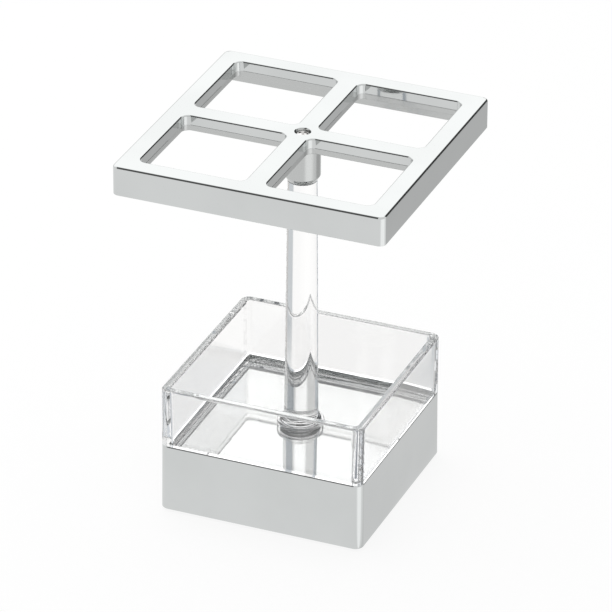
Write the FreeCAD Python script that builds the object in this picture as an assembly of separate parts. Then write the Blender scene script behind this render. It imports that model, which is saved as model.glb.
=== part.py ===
import FreeCAD, Part
import math
import os

V = FreeCAD.Vector
origin = V(0, 0, 0)
up = V(0, 0, 1)

# Heights over the table, all on the axis of the stem.
overall_height = 111.3
tray_rim_height = 38.9
base_height = 21.0
pad_proud = 0.6

# Top frame: a thin square moulding with four walled openings inside a deeper rim.
frame_side = 80.0
frame_depth = 8.7
frame_corner_radius = 2.0
frame_edge_break = 0.3
border_width = 5.8
cross_width = 6.2
rim_width = 1.4
skin_thickness = 2.1
opening_wall = 1.7
opening_wall_depth = 4.65
opening_corner_radius = 2.1
opening_draft = 1.5
parting_depth = 2.9

# Socket under the middle of the frame and the screw that clamps it.
socket_diameter = 10.2
socket_drop = 6.0
socket_chamfer_height = 1.7
socket_bore = 6.6
socket_roof = 1.9
frame_screw_recess = 0.3
frame_screw_length = 9.0

# Clear stem.
stem_top_diameter = 8.4
stem_bottom_diameter = 9.75
flange_diameter = 13.2
flange_thickness = 1.3
flange_edge_break = 0.35
collar_diameter = 11.2
collar_height = 0.9
stem_spigot_diameter = 7.6
pilot_depth = 10.5

# Flat seal ring let into the underside of the stem flange.
seal_outer_diameter = 11.4
seal_thickness = 0.7

# Clear tray.
tray_rim_wall = 2.4
tray_foot_wall = 3.3
tray_floor_thickness = 2.4
tray_rim_break = 0.35
tray_inner_corner_radius = 1.2

# Plated base.
base_side = 61.0
base_flare = 0.15
base_corner_radius = 2.5
base_wall = 2.0
base_edge_break = 0.35
recess_corner_radius = 0.6
deck_depth = 3.9
deck_thickness = 2.0
base_socket_diameter = 13.0
base_socket_floor = 2.0
rib_thickness = 1.4
post_diameter = 5.6
post_offset = 24.6

# Steel weight, bottom cover and pads.
weight_side = 43.0
weight_thickness = 5.0
weight_bore = 17.0
cover_thickness = 2.0
pad_diameter = 8.0
pad_thickness = 1.8
pad_offset = 18.6

# Screws and washer.
screw_diameter = 2.6
screw_head_diameter = 4.2
screw_head_height = 1.8
screw_crown = 0.5
drive_width = 0.75
drive_span = 2.6
drive_foot_span = 1.6
drive_depth = 1.0
stem_screw_diameter = 3.0
stem_screw_head_diameter = 5.6
stem_screw_head_height = 2.0
stem_screw_length = 10.0
washer_diameter = 7.5
washer_thickness = 0.8
cover_screw_diameter = 2.2
cover_screw_head_diameter = 4.0
cover_screw_head_height = 1.1
cover_screw_length = 7.0

# Fits, how far a cut runs past a face, and how near two levels count as one.
slip = 0.1
loose = 0.2
end_play = 0.3
thread_gap = 0.05
seam = 0.15
head_room = 1.1
over = 1.0
tiny = 0.0001

# Levels that follow from the sizes above.
frame_underside = overall_height - frame_depth
socket_end = frame_underside - socket_drop
frame_screw_seat = overall_height - frame_screw_recess - screw_head_height
socket_top = frame_screw_seat - socket_roof
deck_level = base_height - deck_depth
ceiling = deck_level - deck_thickness
tray_floor_level = deck_level + tray_floor_thickness
seal_roof = tray_floor_level + seal_thickness
flange_top = tray_floor_level + flange_thickness
cover_bottom = pad_thickness
cover_top = cover_bottom + cover_thickness
weight_top = cover_top + weight_thickness
base_socket_end = cover_top + head_room + stem_screw_head_height + washer_thickness

# Widths that follow from the sizes above.
rim_side = frame_side - 2 * rim_width
opening_side = (frame_side - 2 * border_width - cross_width) / 2
opening_centre = (cross_width + opening_side) / 2
well_side = opening_side + 2 * opening_wall
base_foot_side = base_side + 2 * base_flare
recess_side = base_side - 2 * base_wall
plug_side = recess_side - 2 * loose
cavity_foot_side = base_side - 2 * tray_foot_wall
cavity_rim_side = base_side - 2 * tray_rim_wall


def drafted_block(low_side, high_side, low, high, radius):
    """Square block between two levels, tapered, with rounded upright corners."""
    a = low_side / 2
    b = high_side / 2
    height = high - low
    block = Part.makeWedge(-a, 0, -a, -b, -b, a, height, a, b, b)
    block.rotate(origin, V(1, 0, 0), 90)
    block.translate(V(0, 0, low))
    uprights = [edge for edge in block.Edges if edge.BoundBox.ZLength > height / 2]
    return block.makeFillet(radius, uprights)


def square_block(side, low, high, radius):
    """Square block with straight sides and rounded upright corners."""
    return drafted_block(side, side, low, high, radius)


def broken_edges(shape, level, size):
    """The shape with all its edges at one level chamfered."""
    edges = []
    for edge in shape.Edges:
        box = edge.BoundBox
        if abs(box.ZMin - level) < tiny and abs(box.ZMax - level) < tiny:
            edges.append(edge)
    return shape.makeChamfer(size, edges)


def centred_box(width, depth, low, high):
    """Plain box centred on the axis."""
    return Part.makeBox(width, depth, high - low, V(-width / 2, -depth / 2, low))


def disc(diameter, low, high, place=0.0):
    """Upright cylinder between two levels, on the axis or out along the front left diagonal."""
    return Part.makeCylinder(diameter / 2, high - low, V(-place, -place, low), up)


def turned(profile):
    """Body turned about the axis from (radius, height) points."""
    points = [V(radius, 0, height) for radius, height in profile]
    outline = Part.makePolygon(points + points[:1])
    return Part.Face(outline).revolve(origin, up, 360)


def four_corners(shape):
    """A front left piece and its copies at front right, back right and back left."""
    return [shape.rotated(origin, up, turn) for turn in (0, 90, 180, 270)]


def upward_screw(shank, head, head_height, length, seat, place=0.0):
    """Flat-head screw driven from below, its head under the seat level."""
    cap = disc(head, seat - head_height, seat, place)
    return cap.fuse(disc(shank, seat - head_height / 2, seat + length, place))


def cross_recess(head_top):
    """Tapered cross slot that is cut into the top of a screw head."""
    half = drive_width / 2
    arm = Part.makeWedge(-drive_foot_span / 2, 0, -half, -half, -drive_span / 2,
                         drive_foot_span / 2, drive_depth, half, half, drive_span / 2)
    arm.rotate(origin, V(1, 0, 0), 90)
    arm.translate(V(0, 0, head_top - drive_depth))
    return arm.fuse(arm.rotated(origin, up, 90))


def opening_cutter():
    """Front left brush opening: narrowest at the parting line, flaring above and below it."""
    spread = 2 * math.tan(math.radians(opening_draft))
    under = frame_underside - over
    parting = overall_height - parting_depth
    top = overall_height + over
    lower = drafted_block(opening_side + spread * (parting - under), opening_side,
                          under, parting, opening_corner_radius)
    upper = drafted_block(opening_side, opening_side + spread * (top - parting),
                          parting, top, opening_corner_radius)
    cutter = lower.fuse(upper)
    cutter.translate(V(-opening_centre, -opening_centre, 0))
    return cutter


def make_top_frame():
    """Plated frame: a skin with four walled openings, a deeper rim and the stem socket in the middle."""
    frame = square_block(frame_side, frame_underside, overall_height, frame_corner_radius)
    frame = broken_edges(frame, overall_height, frame_edge_break)
    hollow = centred_box(rim_side, rim_side, frame_underside - over, overall_height - skin_thickness)
    well = centred_box(well_side, well_side, overall_height - opening_wall_depth, overall_height)
    well.translate(V(-opening_centre, -opening_centre, 0))
    frame = frame.cut(hollow.cut(four_corners(well)))
    frame = frame.cut(four_corners(opening_cutter()))
    socket_root = overall_height - skin_thickness / 2
    frame = frame.fuse(turned([
        (0, socket_end),
        (stem_top_diameter / 2, socket_end),
        (socket_diameter / 2, socket_end + socket_chamfer_height),
        (socket_diameter / 2, socket_root),
        (0, socket_root),
    ]))
    frame = frame.cut(disc(socket_bore, socket_end - over, socket_top))
    frame = frame.cut(disc(screw_diameter + 2 * loose, socket_top - over, overall_height))
    frame = frame.cut(disc(screw_head_diameter + 2 * loose, frame_screw_seat, overall_height + over))
    return frame.removeSplitter()


def make_frame_screw():
    """Crowned cross-head screw seen in the middle of the frame."""
    head_top = frame_screw_seat + screw_head_height
    tip = frame_screw_seat - frame_screw_length
    screw = turned([
        (0, tip),
        (screw_diameter / 2, tip),
        (screw_diameter / 2, frame_screw_seat),
        (screw_head_diameter / 2, frame_screw_seat),
        (screw_head_diameter / 2, head_top - screw_crown),
        (screw_head_diameter / 2 - screw_crown, head_top),
        (0, head_top),
    ])
    return screw.cut(cross_recess(head_top))


def make_clear_stem():
    """Solid tapered stem with a stepped foot flange, a seal groove and a spigot at each end."""
    top_spigot = socket_bore / 2 - slip
    spigot_top = socket_top - end_play
    spigot_foot = base_socket_end + base_socket_floor + end_play
    seal_edge = seal_outer_diameter / 2 + slip
    collar_top = flange_top + collar_height
    stem = turned([
        (0, spigot_foot),
        (stem_spigot_diameter / 2, spigot_foot),
        (stem_spigot_diameter / 2, seal_roof),
        (seal_edge, seal_roof),
        (seal_edge, tray_floor_level),
        (flange_diameter / 2, tray_floor_level),
        (flange_diameter / 2, flange_top - flange_edge_break),
        (flange_diameter / 2 - flange_edge_break, flange_top),
        (collar_diameter / 2, flange_top),
        (collar_diameter / 2, collar_top),
        (stem_bottom_diameter / 2, collar_top),
        (stem_top_diameter / 2, socket_end),
        (top_spigot, socket_end),
        (top_spigot, spigot_top),
        (0, spigot_top),
    ])
    upper_pilot = disc(screw_diameter + 2 * thread_gap, spigot_top - pilot_depth, spigot_top + over)
    lower_pilot = disc(stem_screw_diameter + 2 * thread_gap, spigot_foot - over, spigot_foot + pilot_depth)
    return stem.cut([upper_pilot, lower_pilot])


def make_stem_seal():
    """Flat ring that keeps water in the tray from the stem hole."""
    ring = disc(seal_outer_diameter, tray_floor_level, seal_roof)
    return ring.cut(disc(stem_spigot_diameter + 2 * slip, tray_floor_level - over, seal_roof + over))


def make_clear_tray():
    """Square clear tray with a plug floor that drops into the base."""
    seat = base_height + seam
    walls = square_block(base_side, seat, tray_rim_height, base_corner_radius)
    plug = square_block(plug_side, deck_level, seat + over, recess_corner_radius)
    cavity = drafted_block(cavity_foot_side, cavity_rim_side, tray_floor_level, tray_rim_height,
                           tray_inner_corner_radius)
    hole = disc(stem_spigot_diameter + 2 * loose, deck_level - over, tray_floor_level + over)
    tray = walls.fuse(plug).cut([cavity, hole])
    return broken_edges(tray, tray_rim_height, tray_rim_break)


def corner_post(root):
    """Front left screw post of the base, tied to its corner by a web."""
    reach = math.sqrt(2) * (recess_side / 2 - post_offset) + base_wall / 2
    low = cover_top + head_room
    web = Part.makeBox(reach, rib_thickness, root - low, V(0, -rib_thickness / 2, low))
    web.rotate(origin, up, 225)
    web.translate(V(-post_offset, -post_offset, 0))
    return web.fuse(disc(post_diameter, cover_top, root, post_offset))


def make_base_shell():
    """Plated shell, open below, with a mirror deck set down inside its edge."""
    shell = drafted_block(base_foot_side, base_side, pad_proud, base_height, base_corner_radius)
    for level in (pad_proud, base_height):
        shell = broken_edges(shell, level, base_edge_break)
    recess = square_block(recess_side, deck_level, base_height + over, recess_corner_radius)
    hollow = square_block(recess_side, pad_proud - over, ceiling, recess_corner_radius)
    shell = shell.cut([recess, hollow])
    root = deck_level - deck_thickness / 2
    rib_length = recess_side + base_wall
    rib_low = weight_top + seam
    fittings = [
        centred_box(rib_length, rib_thickness, rib_low, root),
        centred_box(rib_thickness, rib_length, rib_low, root),
        disc(base_socket_diameter, base_socket_end, root),
    ]
    shell = shell.fuse(fittings + four_corners(corner_post(root)))
    screw_well = disc(weight_bore, cover_top, base_socket_end)
    spigot_hole = disc(stem_spigot_diameter + 2 * loose, base_socket_end + base_socket_floor, base_height)
    screw_hole = disc(stem_screw_diameter + 2 * loose, base_socket_end - over, base_height)
    pilot = disc(cover_screw_diameter + 2 * thread_gap, cover_top - over,
                 cover_top + cover_screw_length, post_offset)
    shell = shell.cut([screw_well, spigot_hole, screw_hole] + four_corners(pilot))
    return shell.removeSplitter()


def make_stem_screw():
    """Screw that pulls the stem down onto the tray from inside the base."""
    return upward_screw(stem_screw_diameter, stem_screw_head_diameter, stem_screw_head_height,
                        stem_screw_length, base_socket_end - washer_thickness)


def make_stem_washer():
    """Steel washer under the head of the stem screw."""
    low = base_socket_end - washer_thickness
    hole = disc(stem_screw_diameter + 2 * loose, low - over, base_socket_end + over)
    return disc(washer_diameter, low, base_socket_end).cut(hole)


def make_weight_plate():
    """Steel weight lying on the bottom cover around the stem screw."""
    plate = centred_box(weight_side, weight_side, cover_top, weight_top)
    return plate.cut(disc(weight_bore, cover_top - over, weight_top + over))


def make_bottom_cover():
    """Moulded cover that closes the base from below."""
    cover = square_block(plug_side, cover_bottom, cover_top, recess_corner_radius)
    hole = disc(cover_screw_diameter + 2 * loose, cover_bottom - over, cover_top + over, post_offset)
    return cover.cut(four_corners(hole))


def make_cover_screws():
    """Four screws through the cover into the posts of the base."""
    screw = upward_screw(cover_screw_diameter, cover_screw_head_diameter, cover_screw_head_height,
                         cover_screw_length, cover_bottom, post_offset)
    return Part.makeCompound(four_corners(screw))


def make_foot_pads():
    """Soft pads stuck under the cover, standing proud of the base."""
    names = ("front_left_pad", "front_right_pad", "back_right_pad", "back_left_pad")
    return dict(zip(names, four_corners(disc(pad_diameter, 0, pad_thickness, pad_offset))))


pieces = {
    "top_frame": make_top_frame(),
    "frame_screw": make_frame_screw(),
    "clear_stem": make_clear_stem(),
    "stem_seal": make_stem_seal(),
    "clear_tray": make_clear_tray(),
    "base_shell": make_base_shell(),
    "stem_screw": make_stem_screw(),
    "stem_washer": make_stem_washer(),
    "weight_plate": make_weight_plate(),
    "bottom_cover": make_bottom_cover(),
    "cover_screws": make_cover_screws(),
}
pieces.update(make_foot_pads())

os.makedirs("parts", exist_ok=True)
for name, shape in pieces.items():
    shape.exportStep("parts/" + name + ".step")
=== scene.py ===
from math import cos, pi, radians, sin, sqrt, tan

import bmesh
import bpy
from mathutils import Matrix, Quaternion, Vector


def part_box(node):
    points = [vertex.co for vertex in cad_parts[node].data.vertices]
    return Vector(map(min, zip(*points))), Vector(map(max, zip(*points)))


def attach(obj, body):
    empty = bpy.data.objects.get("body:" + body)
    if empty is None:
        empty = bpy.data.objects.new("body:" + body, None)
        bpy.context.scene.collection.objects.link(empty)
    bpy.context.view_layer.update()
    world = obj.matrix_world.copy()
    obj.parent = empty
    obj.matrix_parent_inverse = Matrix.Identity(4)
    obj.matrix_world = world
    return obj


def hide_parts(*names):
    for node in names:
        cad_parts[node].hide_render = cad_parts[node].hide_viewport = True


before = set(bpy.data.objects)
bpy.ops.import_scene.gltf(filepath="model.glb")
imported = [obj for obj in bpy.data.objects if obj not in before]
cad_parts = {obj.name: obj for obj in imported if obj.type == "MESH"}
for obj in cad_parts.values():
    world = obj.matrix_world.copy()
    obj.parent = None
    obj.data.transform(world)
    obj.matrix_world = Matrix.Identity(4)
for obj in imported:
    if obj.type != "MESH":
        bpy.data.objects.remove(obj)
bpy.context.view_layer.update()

mm = 0.001
nearlyFlat = radians(32)  # edges bent more than this stay crisp
airGap = 0.04 * mm  # film of air where two pieces touch
over = 1.0 * mm  # how far a cutting tool runs past a face
weld = 0.001 * mm  # points closer than this are one point
onAxis = 1e-7  # a radius this small is a point on the axis
quarters = ((-1, -1), (1, -1), (1, 1), (-1, 1))  # the four corners, seen from above


# shader maths

class Sock:
    def __init__(self, sheet, socket):
        self.sheet = sheet
        self.socket = socket

    def maths(self, operation, *values):
        inputs = {i: value for i, value in enumerate(values)}
        return self.sheet.node("ShaderNodeMath", {"operation": operation}, inputs)

    def __add__(self, other):
        return self.maths("ADD", self, other)

    def __radd__(self, other):
        return self.maths("ADD", other, self)

    def __sub__(self, other):
        return self.maths("SUBTRACT", self, other)

    def __rsub__(self, other):
        return self.maths("SUBTRACT", other, self)

    def __mul__(self, other):
        return self.maths("MULTIPLY", self, other)

    def __rmul__(self, other):
        return self.maths("MULTIPLY", other, self)

    def __truediv__(self, other):
        return self.maths("DIVIDE", self, other)

    def __rtruediv__(self, other):
        return self.maths("DIVIDE", other, self)


class Sheet:
    def __init__(self, owner):
        owner.use_nodes = True
        self.tree = owner.node_tree
        self.tree.nodes.clear()

    # one way in for every node: type, settings, then socket values or links
    def node(self, kind, settings=None, sockets=None, out=0):
        made = self.tree.nodes.new(kind)
        for name, value in (settings or {}).items():
            setattr(made, name, value)
        for name, value in (sockets or {}).items():
            if isinstance(value, Sock):
                self.tree.links.new(value.socket, made.inputs[name])
            else:
                made.inputs[name].default_value = value
        return Sock(self, made.outputs[out] if made.outputs else None)

    def smooth(self, value, low, high, start=0.0, end=1.0):
        sockets = {"Value": value, "From Min": low, "From Max": high, "To Min": start, "To Max": end}
        return self.node("ShaderNodeMapRange", {"interpolation_type": "SMOOTHSTEP"}, sockets)

    def noise(self, place, scale, detail=3.0, rough=0.5):
        sockets = {"Vector": place, "Scale": scale, "Detail": detail, "Roughness": rough}
        return self.node("ShaderNodeTexNoise", None, sockets)

    def blend(self, amount, first, second):
        settings = {"data_type": "RGBA"}
        return self.node("ShaderNodeMix", settings, {0: amount, 6: first, 7: second}, out=2)

    def axes(self, place):
        return [self.node("ShaderNodeSeparateXYZ", None, {"Vector": place}, out=i) for i in range(3)]

    def size(self, value):
        return self.node("ShaderNodeMath", {"operation": "ABSOLUTE"}, {0: value})

    def most(self, first, second):
        return self.node("ShaderNodeMath", {"operation": "MAXIMUM"}, {0: first, 1: second})

    def stretched(self, place, scale):
        settings = {"vector_type": "POINT"}
        return self.node("ShaderNodeMapping", settings, {"Vector": place, "Scale": scale})

    def bump(self, height, strength, distance):
        sockets = {"Height": height, "Strength": strength, "Distance": distance}
        return self.node("ShaderNodeBump", None, sockets)

    def principled(self, sockets):
        shader = self.node("ShaderNodeBsdfPrincipled", None, sockets)
        self.node("ShaderNodeOutputMaterial", None, {"Surface": shader})


def newSheet(name):
    material = bpy.data.materials.new(name)
    sheet = Sheet(material)
    place = sheet.node("ShaderNodeTexCoord", None, None, out=3)
    return material, sheet, place


# finishes

# the darker core colour is painted shade for the lower opening walls and the underside of the frame
chromeLook = dict(bright=(0.605, 0.62, 0.617, 1), dull=(0.58, 0.595, 0.592, 1), core=(0.50, 0.51, 0.505, 1),
                  polish=0.03, haze=0.06, coreHaze=0.16, wave=0.012, waveHeight=0.2 * mm,
                  cloudScale=38.0, cloudEdges=(0.35, 0.7), grainScale=2600.0, grainHaze=0.01,
                  coreTop=108.4 * mm, coreTopFade=0.1 * mm, coreFoot=90.0 * mm, coreFootFade=1.0 * mm,
                  coreReach=39.5 * mm, coreReachFade=0.2 * mm)


def chromePlate():
    material, sheet, place = newSheet("chromePlate")
    look = chromeLook
    cloud = sheet.noise(place, look["cloudScale"], 4.0)
    grain = sheet.noise(place, look["grainScale"], 2.0)
    film = sheet.smooth(cloud, *look["cloudEdges"])
    # painted shade: inside the frame, below the parting line, the plating is painted darker and made
    # rougher
    x, y, z = sheet.axes(place)
    inside = sheet.most(sheet.size(x), sheet.size(y))
    core = sheet.smooth(z, look["coreTop"], look["coreTop"] - look["coreTopFade"])
    core = core * sheet.smooth(z, look["coreFoot"], look["coreFoot"] + look["coreFootFade"])
    core = core * sheet.smooth(inside, look["coreReach"], look["coreReach"] - look["coreReachFade"])
    rough = look["polish"] + film * (look["haze"] - look["polish"]) + grain * look["grainHaze"]
    rough = rough + core * (look["coreHaze"] - look["polish"])
    colour = sheet.blend(film, look["bright"], look["dull"])
    # painted shade laid over the inside of the frame below the parting line
    colour = sheet.blend(core, colour, look["core"])
    ripple = sheet.bump(cloud, look["wave"], look["waveHeight"])
    sheet.principled({"Base Color": colour, "Metallic": 1.0, "Roughness": rough, "Normal": ripple})
    return material


clearLook = dict(tint=(0.996, 0.992, 0.99, 1), cool=(0.988, 0.986, 0.986, 1), index=1.53,
                 polish=0.0, smear=0.006, speckScale=900.0, speckEdges=(0.62, 0.8),
                 flowScale=14.0, flowStretch=(1.0, 1.0, 0.35), flowEdges=(0.3, 0.7))


def clearPlastic():
    material, sheet, place = newSheet("clearPlastic")
    look = clearLook
    flow = sheet.noise(sheet.stretched(place, look["flowStretch"]), look["flowScale"], 2.0)
    specks = sheet.noise(place, look["speckScale"], 2.0)
    colour = sheet.blend(sheet.smooth(flow, *look["flowEdges"]), look["tint"], look["cool"])
    rough = look["polish"] + sheet.smooth(specks, *look["speckEdges"]) * look["smear"]
    sheet.principled({"Base Color": colour, "Roughness": rough, "IOR": look["index"],
                      "Transmission Weight": 1.0})
    return material


sealLook = dict(pale=(0.62, 0.64, 0.65, 1), deep=(0.45, 0.47, 0.48, 1), rough=0.4, cloudHaze=0.15,
                cloudScale=700.0, skin=0.15, skinHeight=0.05 * mm, clarity=0.35, index=1.41)


def sealSilicone():
    material, sheet, place = newSheet("sealSilicone")
    look = sealLook
    cloud = sheet.noise(place, look["cloudScale"], 4.0)
    colour = sheet.blend(cloud, look["deep"], look["pale"])
    rough = look["rough"] + cloud * look["cloudHaze"]
    surface = sheet.bump(cloud, look["skin"], look["skinHeight"])
    sheet.principled({"Base Color": colour, "Roughness": rough, "Transmission Weight": look["clarity"],
                      "IOR": look["index"], "Normal": surface})
    return material


screwLook = dict(bright=(0.74, 0.73, 0.72, 1), dark=(0.50, 0.495, 0.49, 1), rough=0.14, turningHaze=0.16,
                 turningScale=900.0, turningStretch=(1.0, 1.0, 9.0), stainScale=420.0,
                 stainEdges=(0.4, 0.72), mark=0.12, markHeight=0.03 * mm)


def screwSteel():
    material, sheet, place = newSheet("screwSteel")
    look = screwLook
    turning = sheet.noise(sheet.stretched(place, look["turningStretch"]), look["turningScale"], 3.0)
    stain = sheet.noise(place, look["stainScale"], 5.0)
    colour = sheet.blend(sheet.smooth(stain, *look["stainEdges"]), look["bright"], look["dark"])
    marks = sheet.bump(turning, look["mark"], look["markHeight"])
    rough = look["rough"] + turning * look["turningHaze"]
    sheet.principled({"Base Color": colour, "Metallic": 1.0, "Roughness": rough, "Normal": marks})
    return material


weightLook = dict(zinc=(0.55, 0.56, 0.57, 1), flake=(0.40, 0.42, 0.44, 1), metal=0.9, rough=0.34,
                  spangleScale=190.0, spangleShare=0.6, spangleHaze=0.2, rolledScale=160.0,
                  rolledStretch=(1.0, 14.0, 1.0), mark=0.2, markHeight=0.05 * mm)


def weightZinc():
    material, sheet, place = newSheet("weightZinc")
    look = weightLook
    cells = {"Vector": place, "Scale": look["spangleScale"]}
    flakes = sheet.node("ShaderNodeTexVoronoi", None, cells, out=1)
    tone = sheet.node("ShaderNodeRGBToBW", None, {"Color": flakes})
    rolled = sheet.noise(sheet.stretched(place, look["rolledStretch"]), look["rolledScale"], 4.0)
    pattern = tone * look["spangleShare"] + rolled * (1 - look["spangleShare"])
    colour = sheet.blend(pattern, look["flake"], look["zinc"])
    rough = look["rough"] + tone * look["spangleHaze"]
    marks = sheet.bump(rolled, look["mark"], look["markHeight"])
    sheet.principled({"Base Color": colour, "Metallic": look["metal"], "Roughness": rough, "Normal": marks})
    return material


coverLook = dict(grey=(0.105, 0.108, 0.112, 1), worn=(0.15, 0.153, 0.158, 1), rough=0.5, grainHaze=0.18,
                 grainScale=1500.0, grainBite=0.62, rubScale=60.0, rubEdges=(0.45, 0.75), skin=0.35,
                 skinHeight=0.06 * mm)


def coverGrain():
    material, sheet, place = newSheet("coverGrain")
    look = coverLook
    grain = sheet.noise(place, look["grainScale"], 5.0, look["grainBite"])
    rub = sheet.noise(place, look["rubScale"], 4.0)
    colour = sheet.blend(sheet.smooth(rub, *look["rubEdges"]), look["grey"], look["worn"])
    rough = look["rough"] + grain * look["grainHaze"]
    surface = sheet.bump(grain, look["skin"], look["skinHeight"])
    sheet.principled({"Base Color": colour, "Roughness": rough, "Normal": surface})
    return material


padLook = dict(dark=(0.028, 0.029, 0.031, 1), dust=(0.075, 0.075, 0.073, 1), rough=0.85, dustHaze=0.1,
               cellScale=1300.0, dustScale=240.0, dustEdges=(0.5, 0.8), pores=0.5, poreDepth=0.12 * mm)


def padFoam():
    material, sheet, place = newSheet("padFoam")
    look = padLook
    cells = sheet.node("ShaderNodeTexVoronoi", None, {"Vector": place, "Scale": look["cellScale"]})
    dust = sheet.noise(place, look["dustScale"], 4.0)
    colour = sheet.blend(sheet.smooth(dust, *look["dustEdges"]), look["dark"], look["dust"])
    rough = look["rough"] + dust * look["dustHaze"]
    pores = sheet.bump(cells, look["pores"], look["poreDepth"])
    sheet.principled({"Base Color": colour, "Roughness": rough, "Normal": pores})
    return material


# mesh tools

def roundedLoop(half, radius, z, centre=(0.0, 0.0), steps=10):
    points = []
    inner = half - radius
    for corner in range(4):
        middle = pi / 2 * corner + pi / 4
        for step in range(steps + 1):
            turn = pi / 2 * (corner + step / steps)
            x = centre[0] + inner * sqrt(2) * cos(middle) + radius * cos(turn)
            y = centre[1] + inner * sqrt(2) * sin(middle) + radius * sin(turn)
            points.append(Vector((x, y, z)))
    return points


def roundLoop(radius, z, centre=(0.0, 0.0), steps=96):
    turns = [2 * pi * step / steps for step in range(steps)]
    return [Vector((centre[0] + radius * cos(t), centre[1] + radius * sin(t), z)) for t in turns]


def addLoop(bm, points):
    return [bm.verts.new(p) for p in points]


def skin(bm, low, high):
    count = len(low)
    for i in range(count):
        j = (i + 1) % count
        bm.faces.new((low[i], low[j], high[j], high[i]))


def skinStack(bm, loops):
    rings = [addLoop(bm, points) for points in loops]
    for low, high in zip(rings, rings[1:]):
        skin(bm, low, high)
    return rings


def flatFill(bm, rings):
    edges = []
    for ring in rings:
        for i, vert in enumerate(ring):
            following = ring[(i + 1) % len(ring)]
            edges.append(bm.edges.get((vert, following)) or bm.edges.new((vert, following)))
    bmesh.ops.triangle_fill(bm, use_beauty=True, use_dissolve=False, edges=edges)


def quarterRound(radius, steps, start, end):
    # (sideways, upward) offsets of a fillet, from its start angle to its end angle
    places = []
    for step in range(steps + 1):
        turn = start + (end - start) * step / steps
        places.append((radius * cos(turn), radius * sin(turn)))
    return places


def latheInto(bm, profile, steps=96, centre=(0.0, 0.0), thread=None):
    rings = []
    for r, z in profile:
        if r < onAxis:
            rings.append([bm.verts.new((centre[0], centre[1], z))])
            continue
        points = roundLoop(r, z, centre, steps)
        if thread and thread["from"] <= z <= thread["to"]:
            for i, point in enumerate(points):
                phase = (z / thread["pitch"] - i / steps) % 1.0
                depth = thread["depth"] * abs(2 * phase - 1)
                inside = min(z - thread["from"], thread["to"] - z)
                fade = min(1.0, inside / thread["pitch"])
                scale = 1 - depth * fade / r
                point.x = centre[0] + (point.x - centre[0]) * scale
                point.y = centre[1] + (point.y - centre[1]) * scale
        rings.append(addLoop(bm, points))
    for low, high in zip(rings, rings[1:]):
        if len(low) == 1 and len(high) == 1:
            continue
        if len(low) == 1:
            for i in range(len(high)):
                bm.faces.new((low[0], high[(i + 1) % len(high)], high[i]))
        elif len(high) == 1:
            for i in range(len(low)):
                bm.faces.new((low[i], low[(i + 1) % len(low)], high[0]))
        else:
            skin(bm, low, high)


def meshPiece(name, bm):
    bmesh.ops.recalc_face_normals(bm, faces=bm.faces)
    mesh = bpy.data.meshes.new(name)
    bm.to_mesh(mesh)
    bm.free()
    piece = bpy.data.objects.new(name, mesh)
    bpy.context.scene.collection.objects.link(piece)
    return piece


def carve(piece, tool, operation):
    modifier = piece.modifiers.new("carve", "BOOLEAN")
    modifier.operation = operation
    modifier.solver = "EXACT"
    modifier.object = tool
    graph = bpy.context.evaluated_depsgraph_get()
    carved = bpy.data.meshes.new_from_object(piece.evaluated_get(graph))
    piece.modifiers.clear()
    piece.data = carved
    bpy.data.objects.remove(tool)


def dress(piece, material, slot, *nodes):
    mesh = piece.data
    mesh.materials.clear()
    mesh.materials.append(material)
    for face in mesh.polygons:
        face.use_smooth = True
    mesh.set_sharp_from_angle(angle=nearlyFlat)
    weighted = piece.modifiers.new("flatNormals", "WEIGHTED_NORMAL")
    weighted.keep_sharp = True
    weighted.weight = 100
    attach(piece, "root")
    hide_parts(*nodes)
    print("made", piece.name, len(mesh.polygons), "faces")
    return piece


def boxInto(bm, low, high):
    lowRing = [(low[0], low[1]), (high[0], low[1]), (high[0], high[1]), (low[0], high[1])]
    rings = skinStack(bm, [[Vector((x, y, z)) for x, y in lowRing] for z in (low[2], high[2])])
    bm.faces.new(rings[0])
    bm.faces.new(rings[1])


# plated top frame

frameShape = dict(depth=8.7 * mm, corner=2.0 * mm, edge=0.65 * mm, lowEdge=0.2 * mm, border=5.8 * mm,
                  cross=6.2 * mm, rim=1.4 * mm, rimCorner=0.6 * mm, skin=2.1 * mm, wall=1.7 * mm,
                  wallDepth=4.65 * mm, wallEdge=0.2 * mm, wallCorner=0.8 * mm, openCorner=2.1 * mm,
                  openEdge=0.42 * mm, parting=2.9 * mm, draft=radians(1.5), flash=0.05 * mm,
                  flashHalf=0.03 * mm, flashFoot=0.1 * mm, socket=10.2 * mm, socketFoot=8.4 * mm,
                  socketRamp=1.7 * mm, socketEdge=0.1 * mm, rampEase=0.6, socketSteps=128,
                  socketBore=6.6 * mm, roof=1.9 * mm, headHole=4.5 * mm, screwHole=3.0 * mm, lip=0.12 * mm,
                  boreSteps=64)


def openingLoops(s, top, centre, half):
    # from the outside of the hanging wall, round its foot and up to the top face
    parting = top - s["parting"]
    foot = top - s["wallDepth"]
    low = s["wallEdge"]
    outer = half + s["wall"]
    bend = s["wallCorner"]
    loops = [roundedLoop(outer, bend, top - s["skin"], centre)]
    for side, rise in quarterRound(low, 3, 0, -pi / 2):
        loops.append(roundedLoop(outer - low + side, bend - low + side, foot + low + rise, centre))
    flare = (parting - foot - low) * tan(s["draft"])
    for side, rise in quarterRound(low, 3, -pi / 2, -pi):
        grow = flare + low + side
        loops.append(roundedLoop(half + grow, s["openCorner"] + grow, foot + low + rise, centre))
    # a fine witness line runs round where the mould halves met
    for proud, rise in ((0, -s["flashFoot"]), (s["flash"], -s["flashHalf"]),
                        (s["flash"], s["flashHalf"]), (0, s["flashFoot"])):
        loops.append(roundedLoop(half - proud, s["openCorner"] - proud, parting + rise, centre))
    mouth = (s["parting"] - s["openEdge"]) * tan(s["draft"])
    for side, rise in quarterRound(s["openEdge"], 5, pi, pi / 2):
        grow = mouth + s["openEdge"] + side
        loops.append(roundedLoop(half + grow, s["openCorner"] + grow, top - s["openEdge"] + rise, centre))
    return loops


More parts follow.
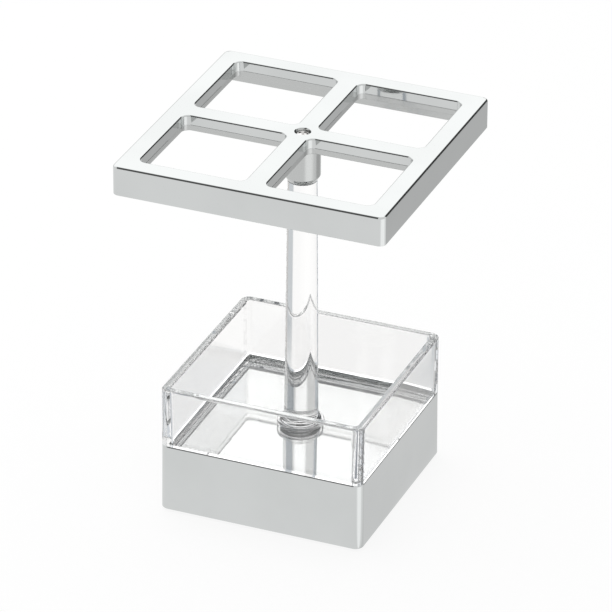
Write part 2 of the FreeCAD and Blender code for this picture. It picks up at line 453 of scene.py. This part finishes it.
def platedFrame(material):
    s = frameShape
    low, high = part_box("top_frame")
    top = high.z
    half = high.x
    under = top - s["depth"]
    inner = half - s["rim"]
    bm = bmesh.new()
    loops = [roundedLoop(inner, s["rimCorner"], top - s["skin"]), roundedLoop(inner, s["rimCorner"], under)]
    for side, rise in quarterRound(s["lowEdge"], 3, -pi / 2, 0):
        grow = side - s["lowEdge"]
        loops.append(roundedLoop(half + grow, s["corner"] + grow, under + s["lowEdge"] + rise))
    for side, rise in quarterRound(s["edge"], 5, 0, pi / 2):
        grow = side - s["edge"]
        loops.append(roundedLoop(half + grow, s["corner"] + grow, top - s["edge"] + rise))
    outer = skinStack(bm, loops)
    openHalf = (half * 2 - 2 * s["border"] - s["cross"]) / 4
    centre = s["cross"] / 2 + openHalf
    wells = []
    for sx, sy in quarters:
        wells.append(skinStack(bm, openingLoops(s, top, (sx * centre, sy * centre), openHalf)))
    flatFill(bm, [outer[-1]] + [well[-1] for well in wells])
    flatFill(bm, [outer[0]] + [well[0] for well in wells])
    piece = meshPiece("platedFrame", bm)

    # socket with its bore, and the sunk seat of the screw
    root = top - s["skin"] / 2
    shoulder = low.z + s["socketRamp"]
    edge = s["socketEdge"]
    foot, body = s["socketFoot"] / 2, s["socket"] / 2
    bm = bmesh.new()
    profile = [(0, low.z), (foot - edge, low.z), (foot, low.z + edge),
               (body - s["rampEase"] * edge, shoulder - edge), (body, shoulder + edge),
               (body, root), (0, root)]
    latheInto(bm, profile, s["socketSteps"])
    carve(piece, meshPiece("socket", bm), "UNION")
    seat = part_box("frame_screw")[1].z - frameScrewShape["headHeight"]
    roof = seat - s["roof"]
    bore, shaft, head = s["socketBore"] / 2, s["screwHole"] / 2, s["headHole"] / 2
    lip = s["lip"]
    bm = bmesh.new()
    profile = [(0, low.z - over), (bore, low.z - over), (bore, roof), (shaft, roof), (shaft, seat),
               (head, seat), (head, top - lip), (head + 2 * lip, top + lip), (0, top + lip)]
    latheInto(bm, profile, s["boreSteps"])
    carve(piece, meshPiece("bore", bm), "DIFFERENCE")
    return dress(piece, material, "chrome_plate", "top_frame")


# screws

screwShape = dict(driveWidth=0.75 * mm, driveSpan=2.8 * mm, driveFoot=1.5 * mm, driveDepth=1.1 * mm,
                  driveOver=0.3 * mm, threadDepth=0.22 * mm, pitch=0.9 * mm, rings=10, bevel=0.08 * mm,
                  crown=0.4 * mm, swell=0.03 * mm, swellReach=0.6, neck=0.3 * mm, tip=0.9 * mm,
                  point=0.05 * mm, pointShare=0.45, steps=48)
frameScrewShape = dict(shank=1.3 * mm, headHeight=1.8 * mm, headSide=0.95 * mm, turn=radians(24),
                       domeSteps=8, tip=1.0 * mm, pointShare=0.5, steps=64)
stemScrewShape = dict(headHeight=2.0 * mm, shank=1.5 * mm)
coverScrewShape = dict(head=2.0 * mm, headHeight=1.1 * mm, shank=1.1 * mm)


def crossTool(centre, faceZ, upward):
    # tapered cross that sinks into a head; upward is +1 for a head that faces up
    s = screwShape
    bm = bmesh.new()
    tips = ((s["driveFoot"] / 2, faceZ - upward * s["driveDepth"]),
            (s["driveSpan"] / 2, faceZ + upward * s["driveOver"]))
    wide = s["driveWidth"] / 2
    rings = []
    for reach, z in tips:
        arm = [(reach, -wide), (reach, wide), (wide, wide)]
        ring = []
        for turn in range(4):
            ring += [Vector((centre[0] + x, centre[1] + y, z)) for x, y in arm]
            arm = [(-y, x) for x, y in arm]
        rings.append(ring)
    made = skinStack(bm, rings)
    bm.faces.new(made[0])
    bm.faces.new(made[1])
    return meshPiece("drive", bm)


def threadProfile(radius, start, end):
    steps = int(round((end - start) / screwShape["pitch"] * screwShape["rings"]))
    return [(radius, start + (end - start) * i / steps) for i in range(steps + 1)]


def domeProfile(radius, seat, height, upward):
    # head from its seat edge over the crown to the axis
    s = screwShape
    crown = s["crown"]
    profile = [(radius - s["bevel"], seat), (radius, seat + upward * s["bevel"])]
    for side, rise in quarterRound(crown, 5, 0, pi / 2):
        profile.append((radius - crown + side, seat + upward * (height - s["swell"] - crown + rise)))
    profile.append((s["swellReach"] * (radius - crown), seat + upward * (height - s["swell"] / 3)))
    profile.append((0, seat + upward * height))
    return profile


def threadSpan(start, end):
    s = screwShape
    return {"from": start, "to": end, "pitch": s["pitch"], "depth": s["threadDepth"]}


def frameScrew(material):
    s = frameScrewShape
    low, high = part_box("frame_screw")
    head = high.x
    shank = s["shank"]
    seat = high.z - s["headHeight"]
    side = seat + s["headSide"]
    bevel = screwShape["bevel"]
    start, end = low.z + s["tip"], seat - screwShape["neck"]
    bm = bmesh.new()
    profile = [(0, low.z), (s["pointShare"] * shank, low.z + screwShape["point"])]
    profile += threadProfile(shank, start, end)
    profile += [(shank, seat), (head - bevel, seat), (head, seat + bevel)]
    for step in range(s["domeSteps"]):
        turn = pi / 2 * step / s["domeSteps"]
        profile.append((head * cos(turn), side + (high.z - side) * sin(turn)))
    profile.append((0, high.z))
    latheInto(bm, profile, s["steps"], thread=threadSpan(start, end))
    piece = meshPiece("crossHeadScrew", bm)
    tool = crossTool((0, 0), high.z, 1)
    tool.data.transform(Matrix.Rotation(s["turn"], 4, "Z"))
    carve(piece, tool, "DIFFERENCE")
    return dress(piece, material, "screw_steel", "frame_screw")


def upwardScrew(name, low, high, centre, head, shape):
    s = screwShape
    shank = shape["shank"]
    seat = low + shape["headHeight"]
    start, end = seat + s["neck"], high - s["tip"]
    bm = bmesh.new()
    profile = list(reversed(domeProfile(head, seat, shape["headHeight"], -1)))
    profile += [(shank, seat)] + threadProfile(shank, start, end)
    profile += [(s["pointShare"] * shank, high - s["point"]), (0, high)]
    latheInto(bm, profile, s["steps"], centre, threadSpan(start, end))
    piece = meshPiece(name, bm)
    carve(piece, crossTool(centre, low, -1), "DIFFERENCE")
    return piece


def stemScrew(material):
    low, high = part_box("stem_screw")
    piece = upwardScrew("stemFixingScrew", low.z, high.z, (0, 0), high.x, stemScrewShape)
    return dress(piece, material, "screw_steel", "stem_screw")


def coverScrews(material):
    low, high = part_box("cover_screws")
    head = coverScrewShape["head"]
    offset = high.x - head
    made = []
    for sx, sy in quarters:
        centre = (sx * offset, sy * offset)
        made.append(upwardScrew("coverScrew", low.z, high.z, centre, head, coverScrewShape))
    bm = bmesh.new()
    for one in made:
        bm.from_mesh(one.data)
        bpy.data.objects.remove(one)
    piece = meshPiece("coverScrewSet", bm)
    return dress(piece, material, "screw_steel", "cover_screws")


# clear stem and its seal

stemShape = dict(top=8.4 * mm, bottom=9.75 * mm, flange=13.2 * mm, flangeHeight=1.3 * mm,
                 flangeEdge=0.5 * mm, flangeFoot=0.1 * mm, collar=11.2 * mm, collarHeight=0.9 * mm,
                 collarEdge=0.45 * mm, collarRoot=0.12 * mm, foot=7.6 * mm, footEdge=0.3 * mm,
                 spigot=6.4 * mm, spigotEdge=0.4 * mm, sealPocket=11.6 * mm, sealRoom=0.7 * mm,
                 root=0.5 * mm, rows=24, lowPilot=1.55 * mm, highPilot=1.35 * mm, pilotDepth=10.5 * mm,
                 pilotTip=0.4 * mm, steps=160)


def clearStem(material):
    s = stemShape
    low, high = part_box("clear_stem")
    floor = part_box("stem_seal")[0].z + airGap
    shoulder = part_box("top_frame")[0].z - airGap
    flangeTop = floor + s["flangeHeight"] - airGap
    collarTop = flangeTop + s["collarHeight"]
    pocket = floor + s["sealRoom"]
    foot, flange, spigot = s["foot"] / 2, s["flange"] / 2, s["spigot"] / 2
    lowEnd, highEnd = low.z + s["pilotDepth"], high.z - s["pilotDepth"]
    profile = [(0, lowEnd), (s["lowPilot"], lowEnd - s["pilotTip"]), (s["lowPilot"], low.z),
               (foot - s["footEdge"], low.z), (foot, low.z + s["footEdge"]), (foot, pocket),
               (s["sealPocket"] / 2, pocket), (s["sealPocket"] / 2, floor),
               (flange - s["flangeFoot"], floor), (flange, floor + s["flangeFoot"])]
    edge = s["flangeEdge"]
    for side, rise in quarterRound(edge, 6, 0, pi / 2):
        profile.append((flange - edge + side, flangeTop - edge + rise))
    edge = s["collarRoot"]
    for side, rise in quarterRound(edge, 3, -pi / 2, -pi):
        profile.append((s["collar"] / 2 + edge + side, flangeTop + edge + rise))
    edge = s["collarEdge"]
    for side, rise in quarterRound(edge, 6, 0, pi / 2):
        profile.append((s["collar"] / 2 - edge + side, collarTop - edge + rise))
    edge = s["root"]
    for side, rise in quarterRound(edge, 5, -pi / 2, -pi):
        profile.append((s["bottom"] / 2 + edge + side, collarTop + edge + rise))
    taperStart = collarTop + s["root"]
    for row in range(1, s["rows"] + 1):
        share = row / s["rows"]
        radius = s["bottom"] / 2 + share * (s["top"] - s["bottom"]) / 2
        profile.append((radius, taperStart + share * (shoulder - taperStart)))
    edge = s["spigotEdge"]
    profile += [(spigot, shoulder), (spigot, high.z - edge), (spigot - edge, high.z),
                (s["highPilot"], high.z), (s["highPilot"], highEnd + s["pilotTip"]), (0, highEnd)]
    bm = bmesh.new()
    latheInto(bm, profile, s["steps"])
    piece = meshPiece("clearStemRod", bm)
    piece.visible_shadow = False
    return dress(piece, material, "clear_plastic", "clear_stem")


ringShape = dict(sealInner=3.9 * mm, sealEdge=0.18 * mm, washerInner=1.7 * mm, washerEdge=0.12 * mm,
                 steps=96)


def ringProfile(inner, outer, low, high, edge):
    corners = ((inner + edge, low + edge, -pi, -pi / 2), (outer - edge, low + edge, -pi / 2, 0),
               (outer - edge, high - edge, 0, pi / 2), (inner + edge, high - edge, pi / 2, pi))
    profile = []
    for r, z, start, end in corners:
        profile += [(r + side, z + rise) for side, rise in quarterRound(edge, 4, start, end)]
    return profile + profile[:1]


def ringPiece(name, inner, outer, low, high, edge):
    bm = bmesh.new()
    latheInto(bm, ringProfile(inner, outer, low, high, edge), ringShape["steps"])
    bmesh.ops.remove_doubles(bm, verts=bm.verts, dist=weld)
    return meshPiece(name, bm)


def stemSeal(material):
    low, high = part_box("stem_seal")
    inner, edge = ringShape["sealInner"], ringShape["sealEdge"]
    piece = ringPiece("stemSealRing", inner, high.x, low.z + airGap, high.z - airGap, edge)
    return dress(piece, material, "seal_rubber", "stem_seal")


def stemWasher(material):
    low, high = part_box("stem_washer")
    inner, edge = ringShape["washerInner"], ringShape["washerEdge"]
    piece = ringPiece("stemWasherDisc", inner, high.x, low.z, high.z, edge)
    return dress(piece, material, "screw_steel", "stem_washer")


# clear tray

trayShape = dict(corner=2.5 * mm, rimWall=2.4 * mm, footWall=2.75 * mm, floor=2.4 * mm, rimEdge=0.6 * mm,
                 innerCorner=1.2 * mm, floorEdge=1.0 * mm, plug=28.3 * mm, plugCorner=0.6 * mm,
                 plugEdge=0.3 * mm, seatEdge=0.08 * mm, hole=4.0 * mm)


def clearTray(material):
    s = trayShape
    low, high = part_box("clear_tray")
    half = high.x
    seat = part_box("base_shell")[1].z + airGap
    bottom = low.z + airGap
    floor = low.z + s["floor"]
    rim = high.z
    bm = bmesh.new()
    loops = []
    for side, rise in quarterRound(s["plugEdge"], 3, -pi / 2, 0):
        grow = side - s["plugEdge"]
        loops.append(roundedLoop(s["plug"] + grow, s["plugCorner"] + grow, bottom + s["plugEdge"] + rise))
    loops.append(roundedLoop(s["plug"], s["plugCorner"], seat))
    for side, rise in quarterRound(s["seatEdge"], 4, -pi / 2, 0):
        grow = side - s["seatEdge"]
        loops.append(roundedLoop(half + grow, s["corner"] + grow, seat + s["seatEdge"] + rise))
    for side, rise in quarterRound(s["rimEdge"], 6, 0, pi / 2):
        grow = side - s["rimEdge"]
        loops.append(roundedLoop(half + grow, s["corner"] + grow, rim - s["rimEdge"] + rise))
    rimHalf = half - s["rimWall"]
    footHalf = half - s["footWall"]
    for side, rise in quarterRound(s["rimEdge"], 6, pi / 2, pi):
        grow = s["rimEdge"] + side
        loops.append(roundedLoop(rimHalf + grow, s["innerCorner"] + grow, rim - s["rimEdge"] + rise))
    for side, rise in quarterRound(s["floorEdge"], 6, 0, -pi / 2):
        grow = side - s["floorEdge"]
        loops.append(roundedLoop(footHalf + grow, s["innerCorner"] + grow, floor + s["floorEdge"] + rise))
    rings = skinStack(bm, loops)
    hole = skinStack(bm, [roundLoop(s["hole"], bottom), roundLoop(s["hole"], floor)])
    flatFill(bm, [rings[0], hole[0]])
    flatFill(bm, [rings[-1], hole[1]])
    piece = meshPiece("clearTrayBox", bm)
    piece.visible_shadow = False
    return dress(piece, material, "clear_plastic", "clear_tray")


# plated base

baseShape = dict(flare=0.15 * mm, corner=2.5 * mm, wall=2.0 * mm, edge=0.5 * mm, lipEdge=0.15 * mm,
                 recessCorner=0.6 * mm, deckDepth=3.9 * mm, deck=2.0 * mm, deckHole=4.0 * mm,
                 socket=6.5 * mm, socketFloor=2.0 * mm, screwHole=1.7 * mm, rib=1.4 * mm, ribRoot=0.5 * mm,
                 ribGap=0.15 * mm, post=2.8 * mm, postHole=1.15 * mm, holeRoom=1.0 * mm, postSteps=40)


def platedBase(material):
    s = baseShape
    low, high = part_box("base_shell")
    top = high.z
    foot = high.x
    head = foot - s["flare"]
    deck = top - s["deckDepth"]
    ceiling = deck - s["deck"]
    inner = head - s["wall"]
    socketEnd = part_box("stem_washer")[1].z
    bm = bmesh.new()
    loops = [roundedLoop(inner, s["recessCorner"], ceiling), roundedLoop(inner, s["recessCorner"], low.z)]
    for side, rise in quarterRound(s["edge"], 4, -pi / 2, 0):
        grow = side - s["edge"]
        loops.append(roundedLoop(foot + grow, s["corner"] + grow, low.z + s["edge"] + rise))
    for side, rise in quarterRound(s["edge"], 4, 0, pi / 2):
        grow = side - s["edge"]
        loops.append(roundedLoop(head + grow, s["corner"] + grow, top - s["edge"] + rise))
    for side, rise in quarterRound(s["lipEdge"], 3, pi / 2, pi):
        grow = s["lipEdge"] + side
        loops.append(roundedLoop(inner + grow, s["recessCorner"] + grow, top - s["lipEdge"] + rise))
    loops.append(roundedLoop(inner, s["recessCorner"], deck))
    rings = skinStack(bm, loops)
    bore = skinStack(bm, [roundLoop(r, z) for r, z in (
        (s["deckHole"], deck), (s["deckHole"], socketEnd + s["socketFloor"]),
        (s["screwHole"], socketEnd + s["socketFloor"]), (s["screwHole"], socketEnd),
        (s["socket"], socketEnd), (s["socket"], ceiling))])
    flatFill(bm, [rings[-1], bore[0]])
    flatFill(bm, [rings[0], bore[-1]])
    piece = meshPiece("platedBase", bm)

    # screw posts and ribs under the deck
    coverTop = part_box("bottom_cover")[1].z
    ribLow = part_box("weight_plate")[1].z + s["ribGap"]
    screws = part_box("cover_screws")
    offset = screws[1].x - coverScrewShape["head"]
    root = deck - s["deck"] / 2
    for sx, sy in quarters:
        bm = bmesh.new()
        blind = screws[1].z + s["holeRoom"]
        profile = [(s["postHole"], coverTop), (s["post"], coverTop), (s["post"], root), (0, root)]
        profile += [(0, blind), (s["postHole"], blind), (s["postHole"], coverTop)]
        latheInto(bm, profile, s["postSteps"], (sx * offset, sy * offset))
        bmesh.ops.remove_doubles(bm, verts=bm.verts, dist=weld)
        carve(piece, meshPiece("post", bm), "UNION")
    ribIn = s["socket"] - s["ribRoot"]
    ribOut = inner + s["ribRoot"]
    wide = s["rib"] / 2
    for ax, ay in ((-1, 0), (0, -1), (1, 0), (0, 1)):
        xs = sorted((ax * ribIn, ax * ribOut)) if ax else (-wide, wide)
        ys = sorted((ay * ribIn, ay * ribOut)) if ay else (-wide, wide)
        bm = bmesh.new()
        boxInto(bm, (xs[0], ys[0], ribLow), (xs[1], ys[1], root))
        carve(piece, meshPiece("rib", bm), "UNION")
    return dress(piece, material, "chrome_plate", "base_shell")


# what is under the base

weightShape = dict(edge=0.5 * mm, corner=1.0 * mm, bore=8.5 * mm, boreEdge=0.3 * mm)


def slabLoops(half, corner, edge, low, high):
    # rounded square slab with softened edges, from its underside to its top
    loops = []
    for z, start, end in ((low + edge, -pi / 2, 0), (high - edge, 0, pi / 2)):
        for side, rise in quarterRound(edge, 3, start, end):
            loops.append(roundedLoop(half + side - edge, corner + side, z + rise, steps=5))
    return loops


def weightPlate(material):
    s = weightShape
    low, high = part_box("weight_plate")
    bore, edge = s["bore"], s["boreEdge"]
    bm = bmesh.new()
    rings = skinStack(bm, slabLoops(high.x, s["corner"], s["edge"], low.z, high.z))
    hole = skinStack(bm, [roundLoop(r, z) for r, z in (
        (bore + edge, low.z), (bore, low.z + edge), (bore, high.z - edge), (bore + edge, high.z))])
    flatFill(bm, [rings[0], hole[0]])
    flatFill(bm, [rings[-1], hole[-1]])
    return dress(meshPiece("weightBlock", bm), material, "weight_steel", "weight_plate")


coverShape = dict(edge=0.25 * mm, corner=0.35 * mm, hole=1.3 * mm, holeSteps=32)


def bottomCover(material):
    s = coverShape
    low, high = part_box("bottom_cover")
    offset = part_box("cover_screws")[1].x - coverScrewShape["head"]
    bm = bmesh.new()
    rings = skinStack(bm, slabLoops(high.x, s["corner"], s["edge"], low.z, high.z))
    holes = []
    for sx, sy in quarters:
        centre = (sx * offset, sy * offset)
        ends = [roundLoop(s["hole"], z, centre, s["holeSteps"]) for z in (low.z, high.z)]
        holes.append(skinStack(bm, ends))
    flatFill(bm, [rings[0]] + [hole[0] for hole in holes])
    flatFill(bm, [rings[-1]] + [hole[-1] for hole in holes])
    return dress(meshPiece("baseCover", bm), material, "cover_plastic", "bottom_cover")


padShape = dict(edge=0.45 * mm, dish=0.04 * mm, dishReach=0.55, bulge=0.05 * mm, skirt=0.5 * mm, steps=64)


def footPads(material):
    s = padShape
    edge = s["edge"]
    for node in ("front_left_pad", "front_right_pad", "back_right_pad", "back_left_pad"):
        low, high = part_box(node)
        first, *others = node.split("_")
        name = first + "".join(word.capitalize() for word in others)
        radius = (high.x - low.x) / 2
        centre = ((low.x + high.x) / 2, (low.y + high.y) / 2)
        profile = [(0, low.z + s["dish"]), (s["dishReach"] * radius, low.z + s["dish"] / 2)]
        for side, rise in quarterRound(edge, 6, -pi / 2, 0):
            profile.append((radius - edge + side, low.z + edge + rise))
        profile += [(radius - s["bulge"], high.z - s["skirt"]), (radius, high.z), (0, high.z)]
        bm = bmesh.new()
        latheInto(bm, profile, s["steps"], centre)
        dress(meshPiece(name, bm), material, "pad_foam", node)


# studio

def seenRays(sheet):
    # camera, glossy and transmission rays
    return [sheet.node("ShaderNodeLightPath", None, None, out=i) for i in (0, 3, 6)]


def flatWay(sheet, place):
    level = sheet.node("ShaderNodeVectorMath", {"operation": "MULTIPLY"}, {0: place, 1: (1, 1, 0)})
    return sheet.axes(sheet.node("ShaderNodeVectorMath", {"operation": "NORMALIZE"}, {0: level}))[:2]


def cardWidth(sheet, x, y, card):
    turn = radians(card["bearing"])
    wide = cos(radians(card["half"] + card["soft"]))
    narrow = cos(radians(card["half"] - card["soft"]))
    return sheet.smooth(x * sin(turn) - y * cos(turn), wide, narrow)


# keep is the camera's share of plain white; plain, right, behind and shade are what the plating reflects
floorLook = dict(size=3.0, drop=0.1 * mm, steps=128, pale=(0.95, 0.95, 0.95, 1), deep=(0.93, 0.93, 0.93, 1),
                 fibreScale=260.0, keep=0.86, plain=1.0, corner=(31 * mm, -31 * mm, 0),
                 right=1.35, rightWay=(0.92, -0.38), rightEdges=(0.72, 0.98),
                 behindWay=(0.42, 0.91), behindEdges=(0.87, 0.93),
                 shadeNear=0.83, shadeFar=0.61, shadeReach=(0.08, 0.22))

# painted shade: dark patches on the floor that only the clear pieces show; bearing from the front, half
# width and softness in degrees
clearFloor = dict(open=(0.99, 0.99, 0.985, 1), softness=0.03, cards=(
    dict(bearing=132, half=14, soft=5, near=0.0, colour=(0.40, 0.39, 0.375, 1)),
    dict(bearing=159, half=14, soft=3, near=0.07, colour=(0.55, 0.58, 0.60, 1)),
    dict(bearing=285, half=14, soft=4, near=0.0, colour=(0.30, 0.34, 0.39, 1)),
    dict(bearing=75, half=18, soft=4, near=0.0, colour=(0.24, 0.26, 0.29, 1)),
    dict(bearing=40, half=14, soft=4, near=0.0, colour=(0.36, 0.39, 0.42, 1))))


def studioFloor():
    s = floorLook
    bm = bmesh.new()
    ring = addLoop(bm, roundLoop(s["size"], -s["drop"], steps=s["steps"]))
    bm.faces.new(ring)
    floor = meshPiece("studioFloor", bm)
    material, sheet, place = newSheet("floorPaper")
    fibre = sheet.noise(place, s["fibreScale"], 4.0)
    paper = sheet.blend(fibre, s["deep"], s["pale"])
    diffuse = sheet.node("ShaderNodeBsdfDiffuse", None, {"Color": paper})
    camera, glossy, through = seenRays(sheet)
    # what the plating sees: bright at the right, shaded behind on the right
    away = sheet.node("ShaderNodeVectorMath", {"operation": "SUBTRACT"}, {0: place, 1: s["corner"]})
    x, y = flatWay(sheet, away)
    reach = sheet.node("ShaderNodeVectorMath", {"operation": "LENGTH"}, {0: away}, out=1)
    right = sheet.smooth(x * s["rightWay"][0] + y * s["rightWay"][1], *s["rightEdges"])
    behind = sheet.smooth(x * s["behindWay"][0] + y * s["behindWay"][1], *s["behindEdges"])
    dim = sheet.smooth(reach, *s["shadeReach"], s["shadeNear"], s["shadeFar"])
    level = s["plain"] + right * (s["right"] - s["plain"]) + behind * (dim - s["plain"])
    # what shows through the clear pieces: the floor with its painted patches of shade
    x, y = flatWay(sheet, place)
    reach = sheet.node("ShaderNodeVectorMath", {"operation": "LENGTH"}, {0: place}, out=1)
    clear = clearFloor["open"]
    soft = clearFloor["softness"]
    for card in clearFloor["cards"]:
        far = sheet.smooth(reach, card["near"] - soft, card["near"] + soft)
        clear = sheet.blend(cardWidth(sheet, x, y, card) * far, clear, card["colour"])
    seen = sheet.blend(through, level, clear)
    colour = sheet.blend(camera, seen, (1, 1, 1, 1))
    glow = sheet.node("ShaderNodeEmission", None, {"Color": colour, "Strength": 1.0})
    amount = sheet.most(camera * s["keep"], sheet.most(glossy, through))
    surface = sheet.node("ShaderNodeMixShader", None, {0: amount, 1: diffuse, 2: glow})
    sheet.node("ShaderNodeOutputMaterial", None, {"Surface": surface})
    floor.data.materials.append(material)


# sky lights the floor; rest, box, front and side are what the plating reflects
worldLook = dict(sky=(0.72, 0.72, 0.72, 1), rest=0.95, box=1.5, boxLean=0.5, boxEdges=(0.3, 0.5),
                 boxLow=(0.3, 0.4), front=0.12, frontEdges=(-0.25, 0.15), frontLow=(0.03, 0.12),
                 frontLeft=(-0.58, -0.48), frontRight=(-0.1, -0.2), side=0.05, sideLow=(-0.02, 0.02),
                 sideHigh=(0.72, 0.66))

# dark card that draws the thin line along the right-hand edges
sideCard = dict(bearing=161, half=25, soft=4)

# painted light and shade round the clear pieces: bright and dark patches in the world that only the clear
# pieces show, as on the floor, from low to high
clearSky = dict(open=(1.0, 1.0, 1.0, 1), softness=0.06, cards=(
    dict(bearing=202, half=15, soft=5, low=0.33, high=0.62, colour=(1.7, 1.7, 1.7, 1)),
    dict(bearing=166, half=14, soft=3, low=0.0, high=0.62, colour=(0.52, 0.56, 0.60, 1)),
    dict(bearing=275, half=22, soft=6, low=0.0, high=0.6, colour=(0.62, 0.67, 0.72, 1)),
    dict(bearing=345, half=26, soft=5, low=0.04, high=0.62, colour=(0.03, 0.045, 0.065, 1))))


def studioWorld():
    s = worldLook
    world = bpy.data.worlds.new("studioWorld")
    bpy.context.scene.world = world
    sheet = Sheet(world)
    way = sheet.node("ShaderNodeTexCoord", None, None, out=0)
    x, y, z = sheet.axes(way)
    camera, glossy, through = seenRays(sheet)
    # what the plating sees
    front = sheet.smooth(y * -1.0, *s["frontEdges"]) * sheet.smooth(z, *s["frontLow"])
    front = front * sheet.smooth(x, *s["frontLeft"]) * sheet.smooth(x, *s["frontRight"])
    side = cardWidth(sheet, *flatWay(sheet, way), sideCard)
    side = side * sheet.smooth(z, *s["sideLow"]) * sheet.smooth(z, *s["sideHigh"])
    softBox = sheet.smooth(y - x * s["boxLean"], *s["boxEdges"]) * sheet.smooth(z, *s["boxLow"])
    level = s["rest"] + softBox * (s["box"] - s["rest"])
    level = level * (1 - side * (1 - s["side"]))
    level = level * (1 - front * (1 - s["front"]))
    # what shows through the clear pieces: the world with its painted patches of light and shade
    x, y = flatWay(sheet, way)
    clear = clearSky["open"]
    soft = clearSky["softness"]
    for card in clearSky["cards"]:
        tall = sheet.smooth(z, card["low"] - soft, card["low"] + soft)
        tall = tall * sheet.smooth(z, card["high"] + soft, card["high"] - soft)
        clear = sheet.blend(cardWidth(sheet, x, y, card) * tall, clear, card["colour"])
    seen = sheet.blend(through, level, clear)
    light = sheet.blend(sheet.most(glossy, through), s["sky"], seen)
    colour = sheet.blend(camera, light, (1, 1, 1, 1))
    background = sheet.node("ShaderNodeBackground", None, {"Color": colour, "Strength": 1.0})
    sheet.node("ShaderNodeOutputWorld", None, {"Surface": background})


lampLook = dict(place=(-0.25, 0.15, 0.9), size=0.9, power=4.0)


def studioLamp():
    s = lampLook
    lamp = bpy.data.lights.new("overheadBox", "AREA")
    lamp.shape = "SQUARE"
    lamp.size = s["size"]
    lamp.energy = s["power"]
    holder = bpy.data.objects.new("overheadBox", lamp)
    holder.location = s["place"]
    holder.rotation_mode = "QUATERNION"
    holder.rotation_quaternion = Vector(holder.location).to_track_quat("Z", "Y")
    holder.visible_glossy = False
    holder.visible_transmission = False
    holder.visible_camera = False
    bpy.context.scene.collection.objects.link(holder)


cameraLook = dict(azimuth=22.3, elevation=28.5, roll=0.32, distance=1464.8 * mm, aim=(0, 0, 52.6 * mm),
                  lens=306.9, sensor=36.0, shift=(0.00695, 0.02067), clip=(0.05, 20.0))


def studioCamera():
    c = cameraLook
    a = radians(c["azimuth"])
    e = radians(c["elevation"])
    back = Vector((sin(a) * cos(e), -cos(a) * cos(e), sin(e)))
    data = bpy.data.cameras.new("photoCamera")
    data.lens = c["lens"]
    data.sensor_width = c["sensor"]
    data.shift_x, data.shift_y = c["shift"]
    data.clip_start, data.clip_end = c["clip"]
    camera = bpy.data.objects.new("photoCamera", data)
    camera.rotation_mode = "QUATERNION"
    camera.location = Vector(c["aim"]) + back * c["distance"]
    turn = Quaternion((0, 0, 1), radians(c["roll"]))
    camera.rotation_quaternion = (-back).to_track_quat("-Z", "Y") @ turn
    bpy.context.scene.collection.objects.link(camera)
    bpy.context.scene.camera = camera


# light runs far along the clear walls before it leaves them
paths = bpy.context.scene.cycles
paths.max_bounces = 40
paths.glossy_bounces = 32
paths.transmission_bounces = 32

studioCamera()
studioFloor()
studioWorld()
studioLamp()
print("studio ready")

chrome = chromePlate()
clear = clearPlastic()
steel = screwSteel()
platedFrame(chrome)
frameScrew(steel)
clearStem(clear)
stemSeal(sealSilicone())
clearTray(clear)
platedBase(chrome)
stemScrew(steel)
stemWasher(steel)
weightPlate(weightZinc())
bottomCover(coverGrain())
coverScrews(steel)
footPads(padFoam())
print("all pieces ready")

bpy.context.scene.view_settings.view_transform = "Standard"
